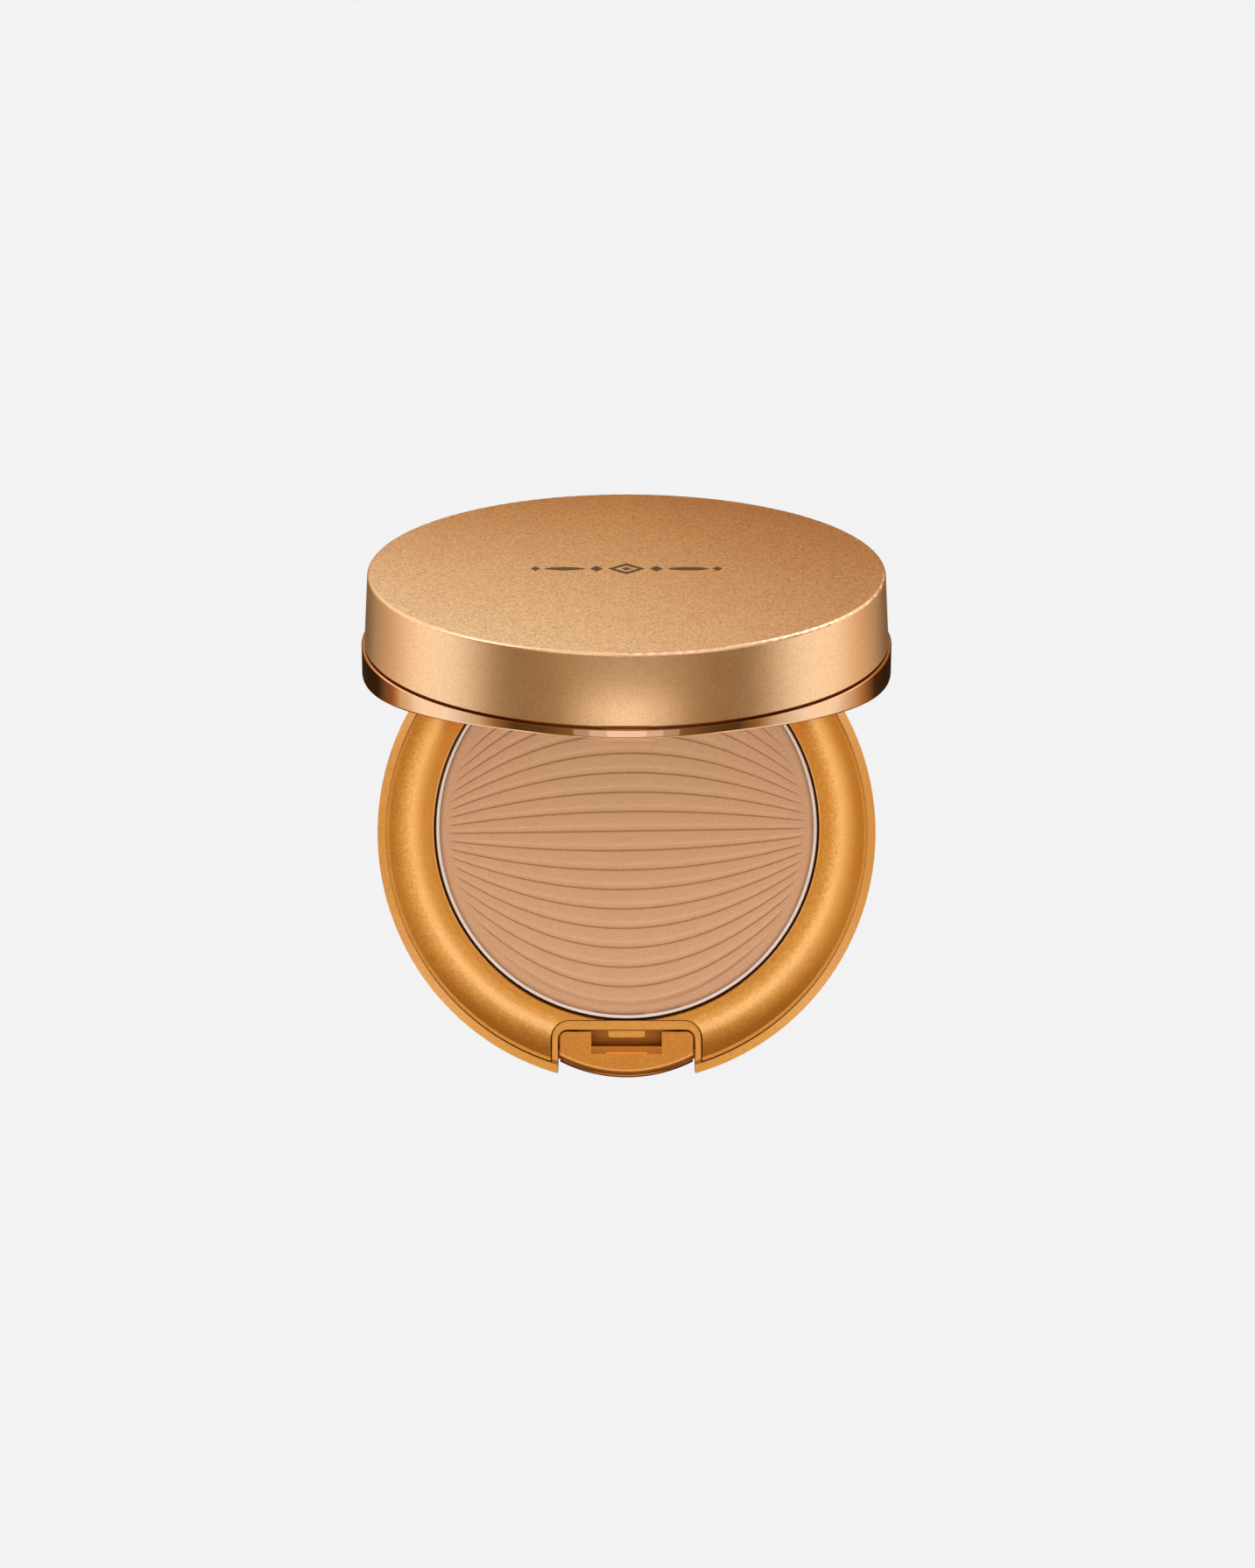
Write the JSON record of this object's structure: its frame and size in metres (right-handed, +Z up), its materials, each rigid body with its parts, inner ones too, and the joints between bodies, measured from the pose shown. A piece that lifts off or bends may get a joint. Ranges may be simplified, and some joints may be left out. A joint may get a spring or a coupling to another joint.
{
  "type": "powder compact",
  "caption": "Round pressed-powder compact with a thick hinged mirror lid, a polished rim band, a ridged powder pan and a sprung push-button latch.",
  "frame": {"origin": "centre of the base's flat bottom face", "axes": "+Z up through the base, -Y towards the latch button at the front, +Y towards the hinge, +X to the right seen from the front"},
  "size_m": [0.0784, 0.0911, 0.0788],
  "materials": {
    "lid_paint": "matte metallic bronze-gold lacquer",
    "band_polish": "mirror-bright rose-gold metallising",
    "inner_gold": "satin light-gold lacquer",
    "base_gold": "satin orange-gold lacquer",
    "pan_metal": "plain rolled metal",
    "powder": "pressed matte powder",
    "mirror": "silvered glass",
    "tape": "double-sided adhesive tape",
    "steel": "plain steel",
    "label": "blank matte label"
  },
  "bodies": {
    "base": {"base_shell": "base_gold", "base_tray": "base_gold", "powder_pan": "pan_metal", "powder_cake": "powder", "pan_tape": "tape", "weight_plate": "steel", "hinge_pin": "steel", "button_spring_left": "steel", "button_spring_right": "steel", "bottom_label": "label"},
    "lid": {"lid_cover": "lid_paint", "lid_band": "band_polish", "lid_frame": "inner_gold", "lid_mirror": "mirror", "mirror_tape": "tape"},
    "button": {"push_button": "base_gold"}
  },
  "joints": [
    {"name": "lid_hinge", "type": "hinge", "parent": "base", "child": "lid", "pos_m": [0, 0.0355, 0.0039], "axis": [-1, 0, 0], "range_deg": [-69, 26]},
    {"name": "button_press", "type": "slide", "parent": "base", "child": "button", "axis": [0, 1, 0], "range_m": [0, 0.001], "stiffness_N_per_m": 900, "springref_m": -0.0005, "deforming": ["button_spring_left", "button_spring_right"]}
  ]
}
